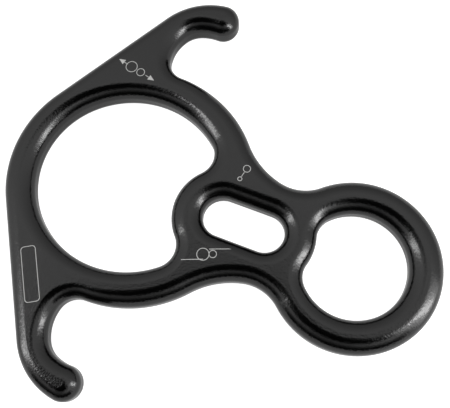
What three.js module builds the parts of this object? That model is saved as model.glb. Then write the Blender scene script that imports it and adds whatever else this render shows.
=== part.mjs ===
// A rescue figure eight: a rope ring, a slotted bridge, a carabiner eye and two hooked
// ears, hot forged as one piece of aluminium alloy and anodised black.
// It lies flat. X runs along its middle line from the rope ring to the eye, Y runs
// across the ears and Z points up from the back face. Lengths are in millimetres.

import * as THREE from 'three';

const degree = Math.PI / 180;
const quarterTurn = 90 * degree;
const halfTurn = 180 * degree;
const fullTurn = 360 * degree;

// Section of the forging: flat faces with round edges
const thickness = 14;
const outerEdgeRadius = 5.5;
const holeEdgeRadius = 5.75;

// Rope ring, measured from the ring's centre
const ringHoleRadius = 34.75;
const ringStock = 11.75;
const ringFlankStock = 14;
const ringFlankShift = 5;
const ringHoleFlare = 4.25;
const ringHoleFlareAngle = 131 * degree;
const ringHoleReach = 23.25;

// Slotted bridge between the ring and the eye
const slotRadius = 7.75;
const slotSpan = 17.25;
const bridgeWall = 12.25;
const bridgeBulge = 4.25;
const holeCornerRadius = 9;

// Carabiner eye
const eyeHoleRadius = 20.25;
const eyeStock = 12.75;

// Neck from the ring's flank to the eye
const neckRingAngle = 40.5 * degree;
const neckEyeAngle = 131.5 * degree;
const neckTangentShare = 1.2;

// Ears: a straight back, a shoulder, a round tip and a pocket in front
const earBackAngle = 59 * degree;
const earBackLength = 74;
const earTipOffset = 15.75;
const earTipRadius = 6.75;
const earShoulderRadius = 29;
const earArmWidth = 11.75;
const pocketSetback = 16.25;
const pocketTipAngle = -92 * degree;
const pocketRootAngle = 89 * degree;
const pocketTipTangentShare = 1;
const pocketRootTangentShare = 1.05;

// Facets: how far a straight facet may stray from its arc, and the steps of a round edge
const facetSagitta = 0.05;
const edgeSteps = 5;
const leastArcSteps = 2;
const weldShare = 0.02;
const angleSlack = 1e-9;

// Room for the round edges: of a wall both take up, and of a size that one edge rounds
const wallRoomShare = 0.98;
const thicknessRoomShare = 0.48;
const armRoomShare = 0.48;
const tipRoomShare = 0.9;

// Finish: black anodised aluminium with a satin gloss
const anodisedBlack = 0x1f2022;
const anodisedRoughness = 0.38;
const anodisedMetalness = 0.55;

const clockwise = -1;
const anticlockwise = 1;

function direction(angle) {
  return new THREE.Vector2(Math.cos(angle), Math.sin(angle));
}

function along(start, angle, distance) {
  return start.clone().addScaledVector(direction(angle), distance);
}

// A station is a point of an outline with the heading of a walk along it
function arc(centre, radius, from, to, turn) {
  const sweep = THREE.MathUtils.euclideanModulo(turn * (to - from) + angleSlack, fullTurn);
  const facetAngle = 2 * Math.acos(1 - Math.min(1, facetSagitta / radius));
  const steps = Math.max(leastArcSteps, Math.ceil(sweep / facetAngle));
  return Array.from({ length: steps + 1 }, (_, i) => {
    const angle = from + turn * sweep * i / steps;
    return { point: along(centre, angle, radius), heading: angle + turn * quarterTurn };
  });
}

// The one arc that leaves a station along its heading and ends at a point
function arcTo(station, end) {
  const chord = end.clone().sub(station.point);
  const leftward = direction(station.heading + quarterTurn);
  const reach = chord.lengthSq() / (2 * chord.dot(leftward));
  const centre = station.point.clone().addScaledVector(leftward, reach);
  const from = station.point.clone().sub(centre).angle();
  const to = end.clone().sub(centre).angle();
  return arc(centre, Math.abs(reach), from, to, Math.sign(reach));
}

// Two arcs that join smoothly and lead from one station to another. The share is the
// first arc's tangent length over the second's.
function blend(start, end, tangentShare) {
  const leaving = direction(start.heading);
  const arriving = direction(end.heading);
  const span = end.point.clone().sub(start.point);
  const bend = 2 * tangentShare * (1 - leaving.dot(arriving));
  const lean = span.dot(leaving.clone().multiplyScalar(tangentShare).add(arriving));
  const tangent = (Math.sqrt(lean * lean + bend * span.lengthSq()) - lean) / bend;
  const firstCorner = start.point.clone().addScaledVector(leaving, tangentShare * tangent);
  const lastCorner = end.point.clone().addScaledVector(arriving, -tangent);
  const joint = firstCorner.clone().lerp(lastCorner, tangentShare / (1 + tangentShare));
  const heading = lastCorner.clone().sub(firstCorner).angle();
  return [arcTo(start, joint), arcTo({ point: joint, heading }, end.point)];
}

// Where two circles cross, on the left of the line from the first centre to the second
function crossing(firstCentre, firstRadius, secondCentre, secondRadius) {
  const line = secondCentre.clone().sub(firstCentre);
  const distance = line.length();
  const reach = (firstRadius ** 2 - secondRadius ** 2 + distance ** 2) / (2 * distance);
  const height = Math.sqrt(Math.max(0, firstRadius ** 2 - reach ** 2));
  const foot = along(firstCentre, line.angle(), reach);
  return along(foot, line.angle() + quarterTurn, height);
}

function angleFrom(centre, point) {
  return point.clone().sub(centre).angle();
}

// The upper half of an outline runs from its left end to its right end on the middle
// line. The lower half mirrors it, so the closed outline is walked clockwise.
function closedOutline(pieces, outwardTurn) {
  const weld = weldShare * ringStock;
  const half = pieces.flat().filter((station, i, all) =>
    i === 0 || station.point.distanceTo(all[i - 1].point) > weld);
  const mirrored = half.slice(1, -1).reverse().map(({ point, heading }) => ({
    point: new THREE.Vector2(point.x, -point.y),
    heading: halfTurn - heading,
  }));
  return [...half, ...mirrored].map(({ point, heading }) => ({
    point,
    outward: direction(heading + outwardTurn * quarterTurn),
  }));
}

// Centres on the middle line, from the ring's centre forward
const ringOuterRadius = ringHoleRadius + ringStock;
const bridgeEndRadius = slotRadius + bridgeWall;
const eyeOuterRadius = eyeHoleRadius + eyeStock;
const ringCentre = new THREE.Vector2(0, 0);
const flankCentre = along(ringCentre, 0, ringFlankShift);
const flankRadius = ringHoleRadius + ringFlankStock;
const slotBackCentre = along(ringCentre, 0, ringHoleReach + bridgeEndRadius);
const slotFrontCentre = along(slotBackCentre, 0, slotSpan);
const eyeCentre = along(slotFrontCentre, 0, bridgeEndRadius + eyeHoleRadius - bridgeBulge);

// Outside: back of the ring, ear, pocket, flank of the ring, neck and eye
function outsideOutline() {
  const backNormal = earBackAngle + quarterTurn;
  const backStart = along(ringCentre, backNormal, ringOuterRadius);
  const tipAbreast = along(backStart, earBackAngle, earBackLength);
  const armAbreast = along(tipAbreast, earBackAngle, -pocketSetback);
  const tipCentre = along(tipAbreast, backNormal, -earTipOffset);
  const shoulderDepth = earShoulderRadius - earTipOffset;
  const shoulderReach = earShoulderRadius - earTipRadius;
  const shoulderBehind = Math.sqrt(Math.max(0, shoulderReach ** 2 - shoulderDepth ** 2));
  const shoulderCentre = along(
    along(tipCentre, backNormal, -shoulderDepth), earBackAngle, -shoulderBehind);
  const tipEntry = angleFrom(shoulderCentre, tipCentre);

  const tip = arc(tipCentre, earTipRadius, tipEntry, pocketTipAngle, clockwise);
  const arm = {
    point: along(armAbreast, backNormal, -earArmWidth),
    heading: earBackAngle + halfTurn,
  };
  const flank = arc(flankCentre, flankRadius, pocketRootAngle, neckRingAngle, clockwise);
  const eye = arc(eyeCentre, eyeOuterRadius, neckEyeAngle, 0, clockwise);
  return closedOutline([
    arc(ringCentre, ringOuterRadius, halfTurn, backNormal, clockwise),
    arc(shoulderCentre, earShoulderRadius, backNormal, tipEntry, clockwise),
    tip,
    ...blend(tip.at(-1), arm, pocketTipTangentShare),
    ...blend(arm, flank[0], pocketRootTangentShare),
    flank,
    ...blend(flank.at(-1), eye[0], neckTangentShare),
    eye,
  ], anticlockwise);
}

// Rope hole: round at the back, wider at the flanks, with the bridge's round end in front
function ringHoleOutline() {
  const flareRadius = ringHoleRadius + ringHoleFlare;
  const flareCentre = along(ringCentre, ringHoleFlareAngle, -ringHoleFlare);
  const cornerCentre = crossing(
    flareCentre, flareRadius - holeCornerRadius,
    slotBackCentre, bridgeEndRadius + holeCornerRadius);
  const cornerEntry = angleFrom(flareCentre, cornerCentre);
  const bridgeEntry = angleFrom(slotBackCentre, cornerCentre);
  return closedOutline([
    arc(ringCentre, ringHoleRadius, halfTurn, ringHoleFlareAngle, clockwise),
    arc(flareCentre, flareRadius, ringHoleFlareAngle, cornerEntry, clockwise),
    arc(cornerCentre, holeCornerRadius, cornerEntry, bridgeEntry - halfTurn, clockwise),
    arc(slotBackCentre, bridgeEndRadius, bridgeEntry, halfTurn, anticlockwise),
  ], clockwise);
}

// Eye hole: round, with the bridge's other end bulging in from behind
function eyeHoleOutline() {
  const cornerCentre = crossing(
    slotFrontCentre, bridgeEndRadius + holeCornerRadius,
    eyeCentre, eyeHoleRadius - holeCornerRadius);
  const bridgeExit = angleFrom(slotFrontCentre, cornerCentre);
  const eyeEntry = angleFrom(eyeCentre, cornerCentre);
  return closedOutline([
    arc(slotFrontCentre, bridgeEndRadius, 0, bridgeExit, anticlockwise),
    arc(cornerCentre, holeCornerRadius, bridgeExit + halfTurn, eyeEntry, clockwise),
    arc(eyeCentre, eyeHoleRadius, eyeEntry, 0, clockwise),
  ], clockwise);
}

// Slot through the bridge: two round ends and straight sides
function slotOutline() {
  return closedOutline([
    arc(slotBackCentre, slotRadius, halfTurn, quarterTurn, clockwise),
    arc(slotFrontCentre, slotRadius, quarterTurn, 0, clockwise),
  ], clockwise);
}

// The narrowest wall between any two outlines, which bounds the round edges beside it
function narrowestWall(outlines) {
  let narrowest = Infinity;
  outlines.forEach((outline, i) => outlines.slice(i + 1).forEach((other) => {
    for (const { point } of outline) {
      for (const { point: opposite } of other) {
        narrowest = Math.min(narrowest, point.distanceTo(opposite));
      }
    }
  }));
  return narrowest;
}

// Rows of a round edge from the front face down to the back face
function edgeRows(radius) {
  const upper = Array.from({ length: edgeSteps + 1 }, (_, i) => {
    const angle = quarterTurn * (1 - i / edgeSteps);
    return {
      inset: radius * (1 - Math.cos(angle)),
      height: thickness - radius * (1 - Math.sin(angle)),
    };
  });
  const lower = [...upper].reverse().map(({ inset, height }) => ({
    inset,
    height: thickness - height,
  }));
  return [...upper, ...lower];
}

// One closed skin: a rounded wall along every outline and a flat cap on each face
function forgingGeometry(outside, holes, outsideRows, holeRows) {
  const positions = [];
  const triangles = [];
  const firstRows = [];
  const lastRows = [];

  [outside, ...holes].forEach((outline, i) => {
    const rows = i === 0 ? outsideRows : holeRows;
    const start = positions.length / 3;
    for (const { inset, height } of rows) {
      for (const { point, outward } of outline) {
        const place = point.clone().addScaledVector(outward, -inset);
        positions.push(place.x, place.y, height);
      }
    }
    for (let row = 0; row < rows.length - 1; row += 1) {
      for (let column = 0; column < outline.length; column += 1) {
        const next = (column + 1) % outline.length;
        const a = start + row * outline.length + column;
        const b = start + row * outline.length + next;
        const c = b + outline.length;
        const d = a + outline.length;
        triangles.push(...(i === 0 ? [a, b, c, a, c, d] : [a, c, b, a, d, c]));
      }
    }
    const indices = outline.map((_, column) => start + column);
    firstRows.push(indices);
    lastRows.push(indices.map((index) => index + (rows.length - 1) * outline.length));
  });

  const flatPoint = (index) => new THREE.Vector2(positions[3 * index], positions[3 * index + 1]);
  const rims = firstRows.map((indices) => indices.map(flatPoint));
  const faces = THREE.ShapeUtils.triangulateShape(rims[0], rims.slice(1));
  const front = firstRows.flat();
  const back = lastRows.flat();
  for (const [a, b, c] of faces) {
    const corners = [a, b, c].map((corner) => flatPoint(front[corner]));
    const [left, right] = THREE.ShapeUtils.area(corners) > 0 ? [b, c] : [c, b];
    triangles.push(front[a], front[left], front[right]);
    triangles.push(back[a], back[right], back[left]);
  }

  const geometry = new THREE.BufferGeometry();
  geometry.setAttribute('position', new THREE.Float32BufferAttribute(positions, 3));
  geometry.setIndex(triangles);
  geometry.computeVertexNormals();
  return geometry;
}

function descenderForging() {
  const outside = outsideOutline();
  const holes = [ringHoleOutline(), slotOutline(), eyeHoleOutline()];
  const wall = narrowestWall([outside, ...holes]);
  const widestPair = holeEdgeRadius + Math.max(holeEdgeRadius, outerEdgeRadius);
  const fit = Math.min(1, wallRoomShare * wall / widestPair);
  const deepest = thicknessRoomShare * thickness;
  const earRoom = Math.min(armRoomShare * earArmWidth, tipRoomShare * earTipRadius);
  const outerEdge = Math.min(fit * outerEdgeRadius, deepest, earRoom);
  const holeEdge = Math.min(fit * holeEdgeRadius, deepest);
  const mesh = new THREE.Mesh(
    forgingGeometry(outside, holes, edgeRows(outerEdge), edgeRows(holeEdge)),
    new THREE.MeshStandardMaterial({
      color: anodisedBlack,
      roughness: anodisedRoughness,
      metalness: anodisedMetalness,
    }),
  );
  mesh.name = 'descender_forging';
  return mesh;
}

// The origin lies under the middle of the object's length, on the surface it rests on
const descender = new THREE.Group();
const forging = descenderForging();
const backEnd = -ringOuterRadius;
const frontEnd = eyeCentre.x + eyeOuterRadius;
forging.position.set(-(backEnd + frontEnd) / 2, 0, 0);
descender.add(forging);

export default descender;
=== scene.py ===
"""A rescue figure eight with two ears, lying on a pale studio floor.

The outlines are chains of arcs that touch smoothly. A rounded section is carried along
each outline, flat faces close it front and back, and the finish is black anodising.
Angles are in radians where a value isn't written with math.radians.
"""

import math

import bpy
import numpy as np
from mathutils import Matrix, Vector
from mathutils.geometry import delaunay_2d_cdt


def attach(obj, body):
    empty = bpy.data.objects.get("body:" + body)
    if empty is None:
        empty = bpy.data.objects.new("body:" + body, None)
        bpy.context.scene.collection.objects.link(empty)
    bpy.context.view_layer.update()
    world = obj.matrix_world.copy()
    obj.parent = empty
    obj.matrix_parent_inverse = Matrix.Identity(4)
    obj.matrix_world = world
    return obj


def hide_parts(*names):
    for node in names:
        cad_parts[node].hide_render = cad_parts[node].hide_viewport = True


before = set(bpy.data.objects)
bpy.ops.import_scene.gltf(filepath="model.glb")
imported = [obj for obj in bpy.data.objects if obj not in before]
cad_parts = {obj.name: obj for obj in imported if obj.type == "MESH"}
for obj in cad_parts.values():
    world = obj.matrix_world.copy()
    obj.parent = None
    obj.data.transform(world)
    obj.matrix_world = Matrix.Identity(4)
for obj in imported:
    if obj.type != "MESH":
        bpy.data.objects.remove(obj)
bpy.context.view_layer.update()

# Camera. It stands almost over the forging, beside the neck and close to it, so the near
# edges spread a little. The eye points to the right of the picture and slightly down.
aim = Vector((0.0003, 0.0058, 0.0070))
camera_distance = 0.2697
camera_azimuth = math.radians(-57.56)
camera_elevation = math.radians(73.48)
picture_right = math.radians(21.7)
lens_length = 55.07
nearest_seen = 0.01


def toward(azimuth, elevation):
    """The direction that is turned by azimuth from +X in plan and raised by elevation."""
    flat = math.cos(elevation)
    return Vector((flat * math.cos(azimuth), flat * math.sin(azimuth), math.sin(elevation)))


camera_back = toward(camera_azimuth, camera_elevation)
camera_right = toward(picture_right + math.pi / 2, 0).cross(camera_back).normalized()
camera_axes = Matrix((camera_right, camera_back.cross(camera_right), camera_back)).transposed()
camera = bpy.data.objects.new("camera", bpy.data.cameras.new("camera"))
camera.data.lens = lens_length
camera.data.clip_start = nearest_seen
camera.matrix_world = Matrix.Translation(aim + camera_distance * camera_back) @ camera_axes.to_4x4()
bpy.context.scene.collection.objects.link(camera)
bpy.context.scene.camera = camera

# Forging: one piece of aluminium alloy, hot forged, trimmed, tumbled smooth and anodised
# black. Its sizes are in millimetres, from the middle of the rope ring, and its mesh is
# moved so that the frame's origin lies under the middle of its length.
millimetre = 0.001
quarter_turn = math.pi / 2

# Section: flat faces with round edges
thickness = 14.0
outer_edge_radius = 5.5
hole_edge_radius = 5.75

# Rope ring, whose middle is at 0
ring_hole_radius = 34.75
ring_outer_radius = 46.5
ring_flank_centre = np.array((5.0, 0.0))
ring_flank_radius = 48.75
ring_flare = 4.25
ring_flare_angle = math.radians(131)

# Slotted bridge between the ring and the eye
slot_radius = 7.75
slot_back_centre = np.array((43.25, 0.0))
slot_front_centre = np.array((60.5, 0.0))
bridge_end_radius = 20.0
hole_corner_radius = 9.0

# Carabiner eye
eye_centre = np.array((96.5, 0.0))
eye_hole_radius = 20.25
eye_outer_radius = 33.0

# Neck from the ring's flank to the eye
neck_ring_angle = math.radians(40.5)
neck_eye_angle = math.radians(131.5)
neck_tangent_share = 1.2

# Ears: a straight back, a shoulder, a round tip and a pocket in front
ear_back_angle = math.radians(59)
ear_back_length = 74.0
ear_tip_offset = 15.75
ear_tip_radius = 6.75
ear_shoulder_radius = 29.0
ear_arm_width = 11.75
pocket_setback = 16.25
pocket_tip_angle = math.radians(-92)
pocket_root_angle = math.radians(89)
pocket_tip_tangent_share = 1.0
pocket_root_tangent_share = 1.05

# The outer edge is a little rounder where the rope runs: on the flanks, the neck and the
# eye, forward of the ears' roots
rope_path_rounding = 0.6
rope_path_start = 5.0
rope_path_full = 22.0
ear_root_near = 50.0
ear_root_far = 56.0

# Fineness of the mesh, and the least lengths that count as real in it
station_gap = 0.8
station_turn = math.radians(4)
least_arc_stations = 3
edge_steps = 14
face_point_gap = 2.2
rim_clearance_share = 0.6
least_move = 0.01
least_triangle_height = 0.0001
weld_distance = 1e-7


def unit(angle):
    """The direction, or row of directions, at an angle: its cosine and its sine."""
    return np.stack([np.cos(angle), np.sin(angle)], axis=-1)


def angle_of(vector):
    """The angle of a direction in plan."""
    return math.atan2(vector[1], vector[0])


def arc(centre, radius, start, stop, turn=-1):
    """Stations x, y, heading on a circle: centre + radius * unit(angle), with the angle
    going evenly from start to stop, and the heading a quarter turn ahead of it. A turn of
    1 goes anticlockwise, and -1 clockwise."""
    sweep = turn * ((turn * (stop - start)) % math.tau)
    gap = min(station_gap / radius, station_turn)
    stations = max(least_arc_stations, math.ceil(abs(sweep) / gap) + 1)
    angle = start + sweep * np.linspace(0, 1, stations)
    return np.column_stack([centre + radius * unit(angle), angle + turn * quarter_turn])


def straight(start, stop):
    """Stations spread evenly from one point to another, all heading along the line."""
    share = np.linspace(0, 1, math.ceil(np.linalg.norm(stop - start) / station_gap) + 1)
    points = start + share[:, None] * (stop - start)
    return np.column_stack([points, np.full(len(share), angle_of(stop - start))])


def arc_to(station, end):
    """The one arc that leaves a station along its heading and ends at a point. Its radius
    is the chord squared over twice the chord's reach to the left of the heading."""
    chord = end - station[:2]
    leftward = unit(station[2] + quarter_turn)
    reach = chord @ chord / (2 * chord @ leftward)
    centre = station[:2] + reach * leftward
    return arc(centre, abs(reach), angle_of(station[:2] - centre), angle_of(end - centre),
               math.copysign(1, reach))


def blend(first, last, tangent_share):
    """Two arcs that join smoothly and lead from one station to another. The first arc's
    tangent is tangent_share times the second's, t, and t solves
    bend / 2 * t * t + lean * t = span * span / 2, which makes the joint lie on both."""
    leaving, arriving = unit(first[2]), unit(last[2])
    span = last[:2] - first[:2]
    bend = 2 * tangent_share * (1 - leaving @ arriving)
    lean = span @ (tangent_share * leaving + arriving)
    tangent = (math.sqrt(lean * lean + bend * (span @ span)) - lean) / bend
    first_corner = first[:2] + tangent_share * tangent * leaving
    last_corner = last[:2] - tangent * arriving
    joint = first_corner + (last_corner - first_corner) * tangent_share / (1 + tangent_share)
    heading = angle_of(last_corner - first_corner)
    return np.vstack([arc_to(first, joint), arc_to(np.append(joint, heading), last[:2])])


def crossing(first_centre, first_radius, second_centre, second_radius):
    """Where two circles cross, to the left of the line between their centres."""
    line = second_centre - first_centre
    distance = np.linalg.norm(line)
    reach = (first_radius ** 2 - second_radius ** 2 + distance ** 2) / (2 * distance)
    height = math.sqrt(first_radius ** 2 - reach ** 2)
    ahead = line / distance
    return first_centre + reach * ahead + height * np.array((-ahead[1], ahead[0]))


def closed_outline(pieces, outward_turn):
    """The upper half of an outline, from its left end to its right end on the middle
    line, and its mirror image back. Gives x, y and the outward normal of each station,
    which is the heading turned by a quarter turn, to the left for 1 or the right for -1."""
    half = np.vstack(pieces)
    moved = np.linalg.norm(np.diff(half[:, :2], axis=0), axis=1) > least_move
    half = half[np.append(True, moved)]
    mirrored = half[-2:0:-1] * (1, -1, -1) + (0, 0, math.pi)
    whole = np.vstack([half, mirrored])
    return np.column_stack([whole[:, :2], unit(whole[:, 2] + outward_turn * quarter_turn)])


def outside_outline():
    """Back of the ring, straight back of the ear, shoulder, tip, pocket, flank of the
    ring, neck and eye."""
    back_normal = ear_back_angle + quarter_turn
    along_back, across_back = unit(ear_back_angle), unit(back_normal)
    back_start = ring_outer_radius * across_back
    tip_abreast = back_start + ear_back_length * along_back
    tip_centre = tip_abreast - ear_tip_offset * across_back
    shoulder_depth = ear_shoulder_radius - ear_tip_offset
    shoulder_behind = math.sqrt((ear_shoulder_radius - ear_tip_radius) ** 2 - shoulder_depth ** 2)
    shoulder_centre = tip_centre - shoulder_depth * across_back - shoulder_behind * along_back
    tip_entry = angle_of(tip_centre - shoulder_centre)
    tip = arc(tip_centre, ear_tip_radius, tip_entry, pocket_tip_angle)
    arm_point = tip_abreast - pocket_setback * along_back - ear_arm_width * across_back
    arm = np.append(arm_point, ear_back_angle + math.pi)
    flank = arc(ring_flank_centre, ring_flank_radius, pocket_root_angle, neck_ring_angle)
    eye = arc(eye_centre, eye_outer_radius, neck_eye_angle, 0)
    shoulder = arc(shoulder_centre, ear_shoulder_radius, back_normal, tip_entry)
    return closed_outline([
        arc(np.zeros(2), ring_outer_radius, math.pi, back_normal),
        straight(back_start, shoulder[0, :2]),
        shoulder,
        tip,
        blend(tip[-1], arm, pocket_tip_tangent_share),
        blend(arm, flank[0], pocket_root_tangent_share),
        flank,
        blend(flank[-1], eye[0], neck_tangent_share),
        eye,
    ], 1)


def ring_hole_outline():
    """Round at the back, wider at the flanks, with the bridge's round end in front."""
    flare_radius = ring_hole_radius + ring_flare
    flare_centre = -ring_flare * unit(ring_flare_angle)
    corner = crossing(flare_centre, flare_radius - hole_corner_radius,
                      slot_back_centre, bridge_end_radius + hole_corner_radius)
    corner_entry = angle_of(corner - flare_centre)
    bridge_entry = angle_of(corner - slot_back_centre)
    return closed_outline([
        arc(np.zeros(2), ring_hole_radius, math.pi, ring_flare_angle),
        arc(flare_centre, flare_radius, ring_flare_angle, corner_entry),
        arc(corner, hole_corner_radius, corner_entry, bridge_entry - math.pi),
        arc(slot_back_centre, bridge_end_radius, bridge_entry, math.pi, 1),
    ], -1)


def eye_hole_outline():
    """Round, with the bridge's other end bulging in from behind."""
    corner = crossing(slot_front_centre, bridge_end_radius + hole_corner_radius,
                      eye_centre, eye_hole_radius - hole_corner_radius)
    bridge_exit = angle_of(corner - slot_front_centre)
    eye_entry = angle_of(corner - eye_centre)
    return closed_outline([
        arc(slot_front_centre, bridge_end_radius, 0, bridge_exit, 1),
        arc(corner, hole_corner_radius, bridge_exit + math.pi, eye_entry),
        arc(eye_centre, eye_hole_radius, eye_entry, 0),
    ], -1)


def slot_outline():
    """Two round ends and straight sides."""
    side = np.array((0.0, slot_radius))
    return closed_outline([
        arc(slot_back_centre, slot_radius, math.pi, quarter_turn),
        straight(slot_back_centre + side, slot_front_centre + side),
        arc(slot_front_centre, slot_radius, quarter_turn, 0),
    ], -1)


def eased(value, low, high):
    """0 at low and 1 at high, with a smooth rise between: 3 t^2 - 2 t^3."""
    share = np.clip((value - low) / (high - low), 0, 1)
    return share * share * (3 - 2 * share)


def rounded_wall(outline, radius, facing):
    """Carries the section down a wall along an outline, with a radius for each station. A
    row of the section has an angle from a quarter turn at the face to 0 at the wall: its
    inset is radius * (1 - cos), its depth radius * (1 - sin), and its normal is cos
    outwards and sin upwards. The back half mirrors the front half. Gives points, normals
    and quads, turned by facing."""
    angle = np.linspace(quarter_turn, 0, edge_steps + 1)[:, None]
    inset, depth = radius * (1 - np.cos(angle)), radius * (1 - np.sin(angle))
    insets = np.vstack([inset, inset[::-1]])[..., None]
    heights = np.vstack([thickness - depth, depth[::-1]])[..., None]
    tilt = np.vstack([angle, -angle[::-1]])[..., None]
    places, outward = outline[None, :, :2], outline[None, :, 2:]
    flat = np.ones((1, len(outline), 1))
    points = np.concatenate([places - insets * outward, heights], axis=2)
    normals = np.concatenate([np.cos(tilt) * outward, np.sin(tilt) * flat], axis=2)
    index = np.arange(points.shape[0] * points.shape[1]).reshape(points.shape[:2])
    beside = np.roll(index, -1, axis=1)
    quads = np.stack([index[:-1], beside[:-1], beside[1:], index[1:]], axis=-1).reshape(-1, 4)
    return points.reshape(-1, 3), normals.reshape(-1, 3), quads[:, ::facing], index


def within(points, loops):
    """Which points lie inside the first loop and outside the others: the edges of all
    loops that a ray towards +X crosses are odd in number."""
    crossed = np.zeros(len(points), int)
    for loop in loops:
        start, stop = loop, np.roll(loop, -1, axis=0)
        level = points[:, 1:2]
        spans = (start[:, 1] > level) != (stop[:, 1] > level)
        rise = np.where(stop[:, 1] == start[:, 1], 1, stop[:, 1] - start[:, 1])
        place = start[:, 0] + (level - start[:, 1]) * (stop[:, 0] - start[:, 0]) / rise
        crossed += (spans & (points[:, :1] < place)).sum(axis=1)
    return crossed % 2 == 1


def face_mesh(loops):
    """A flat face between loops: a Delaunay net over the loops' stations and over rows of
    points, each row half a gap beside the last, that stand clear of every loop. Gives the
    row points and the triangles, which count the loops' stations first. Triangles whose
    corners lie on one line are left out."""
    rim = np.vstack(loops)
    low, high = rim.min(axis=0), rim.max(axis=0)
    across = np.arange(low[0], high[0], face_point_gap)
    up = np.arange(low[1], high[1], face_point_gap * math.sqrt(0.75))
    rows = np.stack(np.meshgrid(across, up), axis=-1)
    rows[1::2, :, 0] += face_point_gap / 2
    rows = rows.reshape(-1, 2)
    rows = rows[within(rows, loops)]
    nearest = ((rows[:, None] - rim) ** 2).sum(axis=2).min(axis=1)
    rows = rows[nearest > (rim_clearance_share * face_point_gap) ** 2]
    ends = np.cumsum([len(loop) for loop in loops])
    starts = np.concatenate([[0], ends[:-1]])
    following = np.arange(1, len(rim) + 1)
    following[ends - 1] = starts
    edges = np.column_stack([np.arange(len(rim)), following])
    net = delaunay_2d_cdt([Vector(p) for p in np.vstack([rim, rows]).tolist()],
                          edges.tolist(), [], 0, weld_distance)
    places, triangles = np.array(net[0]), np.array(net[2])
    corners = places[triangles]
    first_side, second_side = corners[:, 1] - corners[:, 0], corners[:, 2] - corners[:, 0]
    doubled_area = first_side[:, 0] * second_side[:, 1] - first_side[:, 1] * second_side[:, 0]
    reach = np.linalg.norm(first_side, axis=1) + np.linalg.norm(second_side, axis=1)
    kept = (doubled_area > least_triangle_height * reach) & within(corners.mean(axis=1), loops)
    return rows, triangles[kept]


outlines = [outside_outline(), ring_hole_outline(), slot_outline(), eye_hole_outline()]
along_outside, beside_outside = outlines[0][:, 0], abs(outlines[0][:, 1])
on_rope_path = eased(along_outside, rope_path_start, rope_path_full) \
    * eased(beside_outside, ear_root_far, ear_root_near)
edge_radii = [outer_edge_radius + rope_path_rounding * on_rope_path] \
    + [np.full(len(outline), hole_edge_radius) for outline in outlines[1:]]
walls = []
first_index = 0
for outline, radius, facing in zip(outlines, edge_radii, [1, -1, -1, -1]):
    points, normals, quads, index = rounded_wall(outline, radius, facing)
    walls.append((points, normals, quads + first_index, index + first_index))
    first_index += len(points)
wall_points = np.vstack([wall[0] for wall in walls])
front_rim = np.concatenate([wall[3][0] for wall in walls])
back_rim = np.concatenate([wall[3][-1] for wall in walls])
row_points, face_triangles = face_mesh([wall_points[wall[3][0], :2] for wall in walls])
row_index = first_index + np.arange(len(row_points))
front_index = np.concatenate([front_rim, row_index])
back_index = np.concatenate([back_rim, row_index + len(row_points)])

points = np.vstack([
    wall_points,
    np.column_stack([row_points, np.full(len(row_points), thickness)]),
    np.column_stack([row_points, np.zeros(len(row_points))]),
])
normals = np.vstack([
    np.vstack([wall[1] for wall in walls]),
    np.tile((0.0, 0.0, 1.0), (len(row_points), 1)),
    np.tile((0.0, 0.0, -1.0), (len(row_points), 1)),
])
faces = np.vstack([wall[2] for wall in walls]).tolist()
faces += front_index[face_triangles].tolist()
faces += back_index[face_triangles[:, ::-1]].tolist()
length_middle = (eye_centre[0] + eye_outer_radius - ring_outer_radius) / 2
points = (points - (length_middle, 0, 0)) * millimetre

forging_mesh = bpy.data.meshes.new("descender")
forging_mesh.from_pydata(points.tolist(), [], faces)
forging_mesh.shade_smooth()
forging_mesh.normals_split_custom_set_from_vertices(normals.tolist())
forging = bpy.data.objects.new("descender", forging_mesh)
bpy.context.scene.collection.objects.link(forging)


class Signal:
    """A socket of a node tree. Operators on it add the Math nodes that work them out."""

    def __init__(self, tree, socket=None):
        self.tree, self.socket = tree, socket

    def node(self, kind, settings=None, inputs=None, output=0):
        """Adds a node, gives it its settings and then its sockets' numbers or links, and
        returns one of its outputs."""
        node = self.tree.nodes.new(kind)
        for name, value in (settings or {}).items():
            setattr(node, name, value)
        for name, value in (inputs or {}).items():
            if isinstance(value, Signal):
                self.tree.links.new(value.socket, node.inputs[name])
            else:
                node.inputs[name].default_value = value
        return Signal(self.tree, node.outputs[output] if node.outputs else None)

    def math(self, operation, *values):
        return self.node("ShaderNodeMath", {"operation": operation}, dict(enumerate(values)))

    def __add__(self, other):
        return self.math("ADD", self, other)

    def __sub__(self, other):
        return self.math("SUBTRACT", self, other)

    def __rsub__(self, other):
        return self.math("SUBTRACT", other, self)

    def __mul__(self, other):
        return self.math("MULTIPLY", self, other)

    __radd__, __rmul__ = __add__, __mul__

    def __abs__(self):
        return self.math("ABSOLUTE", self)

    def root(self):
        return self.math("SQRT", self)

    def least(self, other):
        return self.math("MINIMUM", self, other)

    def most(self, other):
        return self.math("MAXIMUM", self, other)

    def step(self, low, high):
        """0 below low, 1 above high and a smooth rise between."""
        return self.node("ShaderNodeMapRange", {"interpolation_type": "SMOOTHSTEP"},
                         {"Value": self, "From Min": low, "From Max": high})


def empty_tree(owner):
    """A Signal with no socket yet, on the emptied node tree of a material or a world."""
    owner.use_nodes = True
    owner.node_tree.nodes.clear()
    return Signal(owner.node_tree)


# Finish: the tumbled surface keeps a fine pebbled grain, which breaks up its gloss, and
# the dyed anodising leaves only the reflection of its clear skin. A laser has marked the
# front face after that: plain signs for load and rope, and a bare field for the owner.
anodised_colour = (0.054, 0.054, 0.054, 1.0)
lasered_colour = (0.52, 0.52, 0.51, 1.0)

lasered_roughness = 0.4
smooth_roughness = 0.08
bump_strength, bump_depth = 0.5, 0.00005

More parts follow.
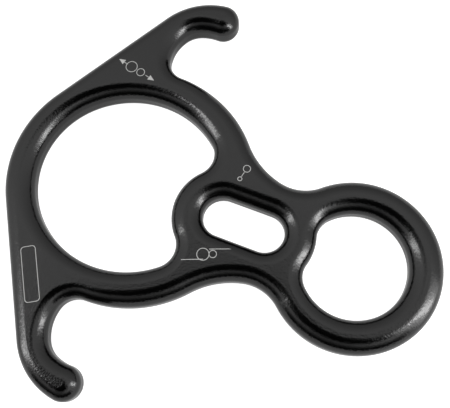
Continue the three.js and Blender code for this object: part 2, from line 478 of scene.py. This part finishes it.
anodised = bpy.data.materials.new("anodised_black")
finish = empty_tree(anodised)
place = finish.node("ShaderNodeTexCoord", output=3)
east, north, height = (
    finish.node("ShaderNodeSeparateXYZ", inputs={"Vector": place}, output=axis) * (1 / millimetre)
    for axis in range(3))


def noise(scale, detail=2.0, roughness=0.5):
    """Noise around 0.5 on the object, with scale cycles to a metre."""
    return finish.node("ShaderNodeTexNoise", inputs={
        "Vector": place, "Scale": scale, "Detail": detail, "Roughness": roughness})


def sheet_at(middle, angle):
    """Millimetres along and across a mark, from its middle, along an angle in plan."""
    east_in, north_in = east - middle[0], north - middle[1]
    cosine, sine = math.cos(angle), math.sin(angle)
    return east_in * cosine + north_in * sine, north_in * cosine - east_in * sine


def ring_gap(along, across, middle, radius):
    """Distance to a ring's line."""
    out = along - middle
    return abs((out * out + across * across).root() - radius)


def bar_gap(along, across, half_length, half_width):
    """Distance outside a bar around the middle, and its depth inside as a negative."""
    return (abs(along) - half_length).most(abs(across) - half_width)


# Load sign on the left ear's web: both rings between two arrows that point away
arrow_tip, arrow_base, arrow_slope = 8.6, 6.4, 0.42
load_along, load_across = sheet_at((-53.4, 44.2), math.radians(-13))
shafts = bar_gap(abs(load_along) - 5.6, load_across, 0.9, 0.0)
sides = abs(load_across) + abs(load_along) * arrow_slope - arrow_tip * arrow_slope
heads = sides.most(arrow_base - abs(load_along))
load_rings = ring_gap(load_along, load_across, -2.5, 2.3).least(
    ring_gap(load_along, load_across, 2.1, 1.6))

# Rope sign on the bridge's left side: a thin and a thick rope's end, joined by a bar
rope_along, rope_across = sheet_at((3.6, 18.0), math.radians(77))
rope_ends = ring_gap(rope_along, rope_across, -2.6, 0.8).least(
    ring_gap(rope_along, rope_across, 2.3, 1.4))
rope_bar = bar_gap(rope_along + 0.5, rope_across, 0.9, 0.0)

# Path sign on the bridge's right side: both rings, and the rope that enters and leaves
path_along, path_across = sheet_at((2.0, -16.6), math.radians(22))
path_rings = ring_gap(path_along, path_across, -1.2, 2.3).least(
    ring_gap(path_along, path_across, 2.5, 1.4))
path_ropes = bar_gap(path_along - 5.3, path_across - 1.9, 4.0, 0.0).least(
    bar_gap(path_along + 5.3, path_across + 1.9, 4.0, 0.0))

# Owner's field on the right ear's web: a frame with round corners
field_along, field_across = sheet_at((-57.2, -47.4), math.radians(-59))
corner_along = (abs(field_along) - 9.4).most(0)
corner_across = (abs(field_across) - 1.5).most(0)
field = abs((corner_along * corner_along + corner_across * corner_across).root() - 1.3)

half_line, line_blur = 0.13, 0.06
gap = shafts
for sign in (heads, load_rings, rope_ends, rope_bar, path_rings, path_ropes, field):
    gap = gap.least(sign)
on_front = height.step(thickness - 0.5, thickness - 0.3)
mark = gap.step(half_line + line_blur, half_line - line_blur) * on_front

# Grain of about 0.7 mm, pebbles of 2 mm and a soft wave of 22 mm, each with its share
grain = noise(1500.0)
pebble = noise(520.0)
wave = noise(45.0, 1.0)
roughness = smooth_roughness + 0.1 * grain + 0.04 * pebble
relief = 2.6 * grain + 0.9 * pebble + 4.0 * wave
bump = finish.node("ShaderNodeBump", inputs={
    "Strength": bump_strength, "Distance": bump_depth, "Height": relief})
colour = finish.node("ShaderNodeMix", {"data_type": "RGBA"},
                     {0: mark, 6: anodised_colour, 7: lasered_colour}, output=2)
surface = finish.node("ShaderNodeBsdfPrincipled", inputs={
    "Base Color": colour, "Metallic": 1 - mark,
    "Roughness": roughness + lasered_roughness * mark, "Normal": bump})
finish.node("ShaderNodeOutputMaterial", inputs={"Surface": surface})
forging_mesh.materials.append(anodised)
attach(forging, "root")
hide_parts("descender_forging")

# Floor: a wide pale table. The camera sees it lit to white, like the photograph's plain
# background, and the forging mirrors it as a pale grey.
floor_reach = 3.0
floor_colour = (0.5, 0.5, 0.5, 1.0)
floor_roughness = 0.9
mirrored_grey = (0.4, 0.4, 0.4, 1.0)
seen_white = (1.0, 1.0, 1.0, 1.0)
floor_mesh = bpy.data.meshes.new("floor")
floor_mesh.from_pydata([(-floor_reach, -floor_reach, 0), (floor_reach, -floor_reach, 0),
                        (floor_reach, floor_reach, 0), (-floor_reach, floor_reach, 0)],
                       [], [(0, 1, 2, 3)])
floor = bpy.data.objects.new("floor", floor_mesh)
bpy.context.scene.collection.objects.link(floor)
pale = bpy.data.materials.new("pale_floor")
table = empty_tree(pale)
direct = table.node("ShaderNodeLightPath")
lit = table.node("ShaderNodeMix", {"data_type": "RGBA"},
                 {0: direct, 6: mirrored_grey, 7: seen_white}, output=2)
paper = table.node("ShaderNodeBsdfPrincipled", inputs={
    "Base Color": floor_colour, "Roughness": floor_roughness,
    "Emission Color": lit, "Emission Strength": 1.0})
table.node("ShaderNodeOutputMaterial", inputs={"Surface": paper})
floor_mesh.materials.append(pale)

# Studio: a large pale ceiling and back wall, a dark side behind the photographer with a
# dim glow half way up, a tall strip light far off on the left, and a short one that leans
# over the forging from close by on the right. Each strip stands before a dim, wide screen,
# which gives its reflection a soft edge. The camera itself sees plain white behind it all.
left_strip_distance = 2.47
left_screen_distance = 2.60
strip_radiance = 7.8
left_screen_radiance = 1.3
right_screen_radiance = 1.8


def sky(zenith_angle, heading):
    """The direction at an angle from straight up, and at a heading in the picture, where
    0 is right and 90 is up. Both angles are in degrees."""
    return toward(picture_right + math.radians(heading), math.radians(90 - zenith_angle))


def light_panel(name, foot, top, facing, width, radiance):
    """A light panel along the line between two points, turned so that it looks back along
    facing. Its power is pi times radiance and area."""
    length = (top - foot).length
    ahead = (top - foot).normalized()
    across = facing.cross(ahead).normalized()
    axes = Matrix((ahead, across, ahead.cross(across))).transposed()
    lamp = bpy.data.lights.new(name, "AREA")
    lamp.shape = "RECTANGLE"
    lamp.size, lamp.size_y = length, width
    lamp.energy = math.pi * radiance * length * width
    light = bpy.data.objects.new(name, lamp)
    light.matrix_world = Matrix.Translation((foot + top) / 2) @ axes.to_4x4()
    light.visible_camera = False
    bpy.context.scene.collection.objects.link(light)


left_facing, right_facing = sky(48.0, 186.4), sky(64.5, 339.0)
light_panel("left_strip", left_strip_distance * sky(70.0, 189.0),
            left_strip_distance * sky(28.0, 180.0), left_facing, 0.20, strip_radiance)
light_panel("left_screen", left_screen_distance * sky(78.0, 189.5),
            left_screen_distance * sky(25.0, 179.0), left_facing, 0.55, left_screen_radiance)
light_panel("right_strip", 0.280 * sky(80.0, 339.9), 0.285 * sky(42.0, 337.2),
            right_facing, 0.042, strip_radiance)
light_panel("right_screen", 0.300 * sky(89.2, 339.9), 0.310 * sky(33.0, 337.2),
            right_facing, 0.13, right_screen_radiance)

world = bpy.data.worlds.new("studio")
bpy.context.scene.world = world
studio = empty_tree(world)
gaze = studio.node("ShaderNodeTexCoord")


def along(direction):
    """How far the gaze points along a direction: the cosine between them."""
    return studio.node("ShaderNodeVectorMath", {"operation": "DOT_PRODUCT"},
                       {0: gaze, 1: direction}, output=1)


# The ceiling is brightest towards the picture's lower left. The dark side goes from a left
# end to a right end, with a dim rest of light. Its glow sets in between two angles from
# straight up, is strongest at a third and fades over a spread, all in degrees, and it is
# stronger away from its middle.
rise, rightward, upward = along(sky(0, 0)), along(sky(90, 0)), along(sky(90, 90))
ceiling = 0.87 - 0.12 * rightward - 0.42 * upward + 0.12 * rise
after_left_end = along(sky(81.1, 297.0)).step(-0.10, 0.02)
before_right_end = along(sky(84.6, 223.5)).step(-0.08, 0.04)
dark_side = after_left_end * before_right_end
glow_start, glow_full, glow_angle, glow_spread = 35, 45, 44, 18
dim_rest = 0.01
zenith = rise.math("ARCCOSINE", rise) * math.degrees(1)
fade = (zenith - glow_angle) * (1 / glow_spread)
glow = zenith.step(glow_start, glow_full) * fade.math("EXPONENT", -1 * fade * fade)
off_middle = rightward + 0.2
behind = dim_rest + glow * (0.36 + 1.9 * off_middle * off_middle)
strength = ceiling + (behind - ceiling) * dark_side
seen = studio.node("ShaderNodeLightPath")
backdrop = studio.node("ShaderNodeMix", {"data_type": "FLOAT"}, {0: seen, 2: strength, 3: 1.0})
background = studio.node("ShaderNodeBackground", inputs={
    "Color": (1.0, 1.0, 1.0, 1.0), "Strength": backdrop})
studio.node("ShaderNodeOutputWorld", inputs={"Surface": background})
bpy.context.scene.view_settings.view_transform = "Standard"
